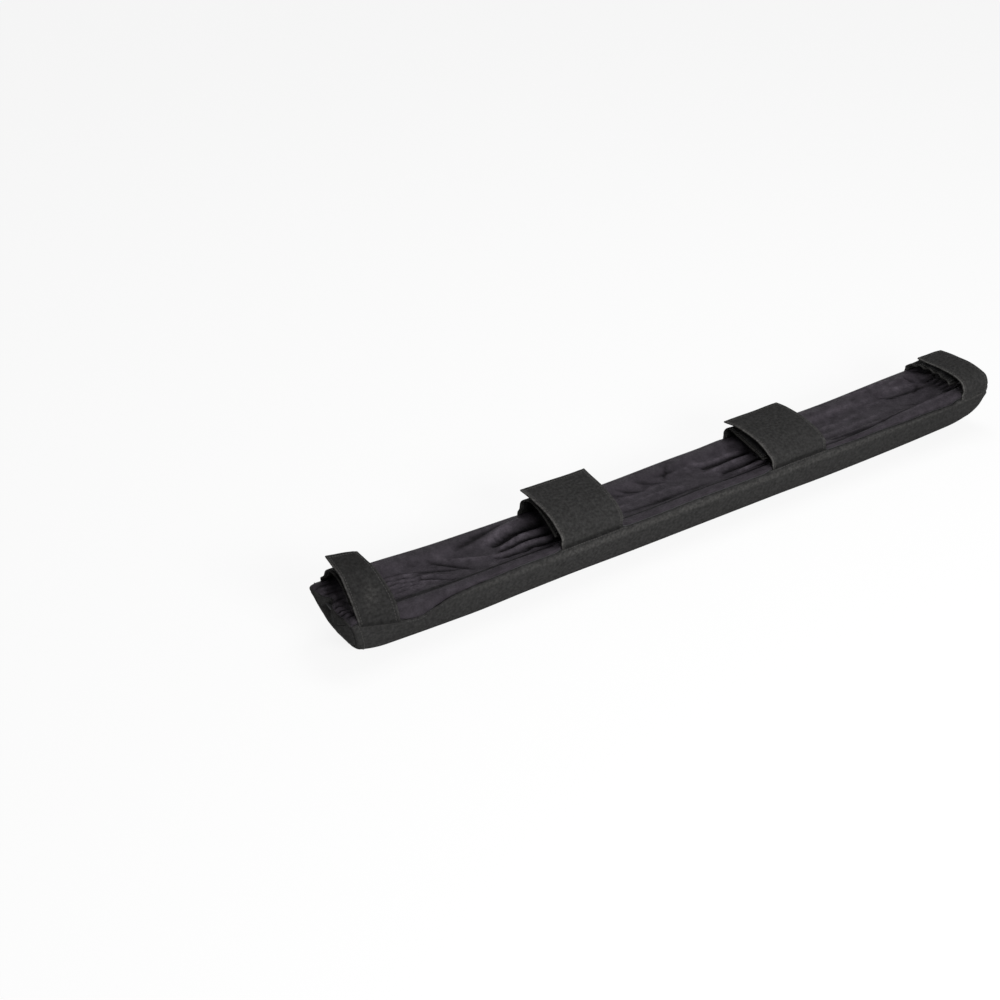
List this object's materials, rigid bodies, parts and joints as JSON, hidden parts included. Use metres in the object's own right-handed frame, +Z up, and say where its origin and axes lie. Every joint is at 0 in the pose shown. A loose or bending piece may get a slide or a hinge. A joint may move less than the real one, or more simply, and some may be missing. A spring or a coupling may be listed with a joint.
{
  "type": "roof rack pad",
  "caption": "Soft D-section pad for a roof rack crossbar, with a canvas cover, nylon lining, foam core and hook-and-loop straps.",
  "frame": {"origin": "on the surface the pad lies on, under the middle of its crown", "axes": "+X along the pad, +Y across it towards the rim that the inner straps are sewn to, +Z up from the crown towards the straps"},
  "size_m": [0.85, 0.0879, 0.106],
  "materials": {
    "canvas": "matte black coated polyester canvas",
    "nylon": "thin black nylon lining with a slight sheen",
    "foam": "closed-cell foam",
    "hook_tape": "black nylon hook tape",
    "loop_tape": "black brushed nylon loop tape"
  },
  "bodies": {
    "root": {"cover_shell": "canvas", "end_panel_left": "canvas", "end_panel_right": "canvas", "lining": "nylon", "foam_core": "foam", "strap_outer_1": "canvas", "strap_outer_2": "canvas", "strap_outer_3": "canvas", "strap_outer_4": "canvas", "strap_inner_1": "canvas", "strap_inner_2": "canvas", "strap_inner_3": "canvas", "strap_inner_4": "canvas", "hook_tape_1": "hook_tape", "hook_tape_2": "hook_tape", "hook_tape_3": "hook_tape", "hook_tape_4": "hook_tape", "loop_tape_1": "loop_tape", "loop_tape_2": "loop_tape", "loop_tape_3": "loop_tape", "loop_tape_4": "loop_tape"}
  },
  "joints": []
}
